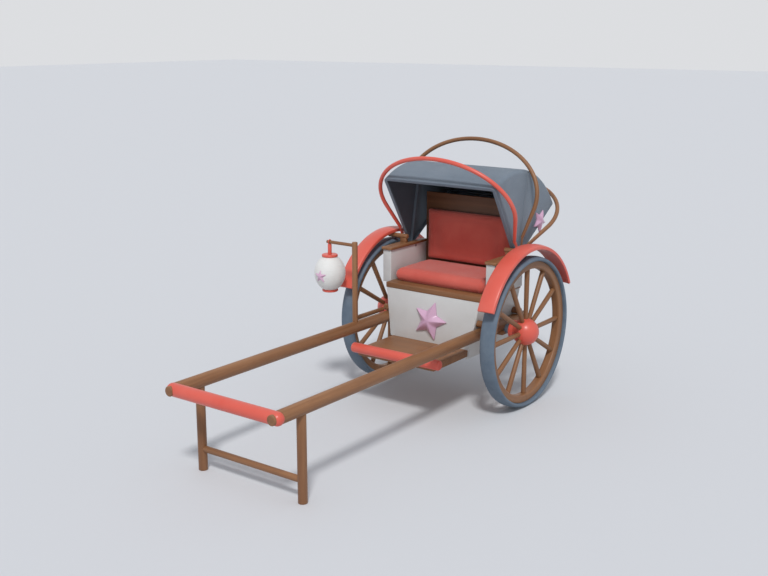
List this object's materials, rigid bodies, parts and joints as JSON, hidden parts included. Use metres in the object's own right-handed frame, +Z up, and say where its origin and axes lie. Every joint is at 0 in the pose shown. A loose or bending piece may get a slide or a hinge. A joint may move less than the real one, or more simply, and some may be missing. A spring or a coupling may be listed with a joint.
{
  "type": "pulled rickshaw",
  "caption": "Light passenger cart pulled on foot: seat box between long shafts, spoked wheels with fenders, fan hood, front stand and hanging lantern.",
  "frame": {"origin": "on the floor, midway between the outermost points in X and in Y; the axle's middle is at x 0.02275, y 0.77028, z 0.5", "axes": "+Z up; -Y forward, towards the shafts' tips; +X to the rider's left"},
  "size_m": [1.3205, 2.9756, 1.7183],
  "materials": {
    "stained_wood": "satin stain",
    "coral_paint": "satin paint",
    "white_paint": "satin paint",
    "red_cloth": "plain weave",
    "hood_cloth": "waxed canvas",
    "tyre_rubber": "matte",
    "axle_steel": "painted",
    "lantern_paper": "matte",
    "pink_enamel": "enamel paint"
  },
  "bodies": {
    "root": {"arm_board_left": "stained_wood", "arm_board_right": "stained_wood", "arm_panel_left": "white_paint", "arm_panel_right": "white_paint", "axle": "axle_steel", "axle_cap_left": "stained_wood", "axle_cap_right": "stained_wood", "back_cushion": "red_cloth", "backrest_board": "stained_wood", "bearer_front": "stained_wood", "bearer_rear": "stained_wood", "box_front_panel": "white_paint", "box_rear_panel": "white_paint", "box_side_left": "white_paint", "box_side_right": "white_paint", "canopy_star": "pink_enamel", "fender_left": "coral_paint", "fender_right": "coral_paint", "fender_stay_left": "stained_wood", "fender_stay_right": "stained_wood", "foot_bar": "coral_paint", "footboard": "stained_wood", "front_crossbar": "coral_paint", "front_star": "pink_enamel", "hood_bow_rear": "stained_wood", "hood_pin_left": "axle_steel", "hood_pin_right": "axle_steel", "lantern_post": "stained_wood", "seat_board": "stained_wood", "seat_cushion": "red_cloth", "shaft_left": "stained_wood", "shaft_right": "stained_wood", "stand_bar": "stained_wood", "stand_leg_left": "stained_wood", "stand_leg_right": "stained_wood"},
    "wheel_left": {"tyre_left": "tyre_rubber", "wheel_rim_left": "stained_wood", "wheel_hub_left": "coral_paint"},
    "wheel_right": {"tyre_right": "tyre_rubber", "wheel_rim_right": "stained_wood", "wheel_hub_right": "coral_paint"},
    "hood_middle": {"hood_bow_middle": "stained_wood", "canopy_rear": "hood_cloth"},
    "hood_front": {"hood_bow_front": "coral_paint", "canopy_front": "hood_cloth"},
    "lantern": {"lantern_hanger": "coral_paint", "lantern_cap_top": "coral_paint", "lantern_globe": "lantern_paper", "lantern_cap_bottom": "coral_paint", "lantern_star": "pink_enamel"}
  },
  "joints": [
    {"name": "wheel_left_spin", "type": "hinge", "parent": "root", "child": "wheel_left", "pos_m": [0.57125, 0.77028, 0.5], "axis": [1, 0, 0], "continuous": true},
    {"name": "wheel_right_spin", "type": "hinge", "parent": "root", "child": "wheel_right", "pos_m": [-0.52575, 0.77028, 0.5], "axis": [1, 0, 0], "continuous": true},
    {"name": "hood_fold", "type": "hinge", "parent": "root", "child": "hood_middle", "pos_m": [0.02275, 0.83928, 0.954], "axis": [-1, 0, 0], "range_deg": [0, 27], "deforming": ["canopy_rear"]},
    {"name": "hood_front_fold", "type": "hinge", "parent": "hood_middle", "child": "hood_front", "pos_m": [0.02275, 0.83928, 0.954], "axis": [-1, 0, 0], "range_deg": [0, 27], "deforming": ["canopy_front"]},
    {"name": "lantern_swing", "type": "hinge", "parent": "root", "child": "lantern", "pos_m": [-0.55725, 0.14228, 1.065], "axis": [1, 0, 0], "range_deg": [-40, 9]}
  ],
  "couplings": [
    {"joint": "hood_front_fold", "follows": "hood_fold", "ratio": 1}
  ]
}
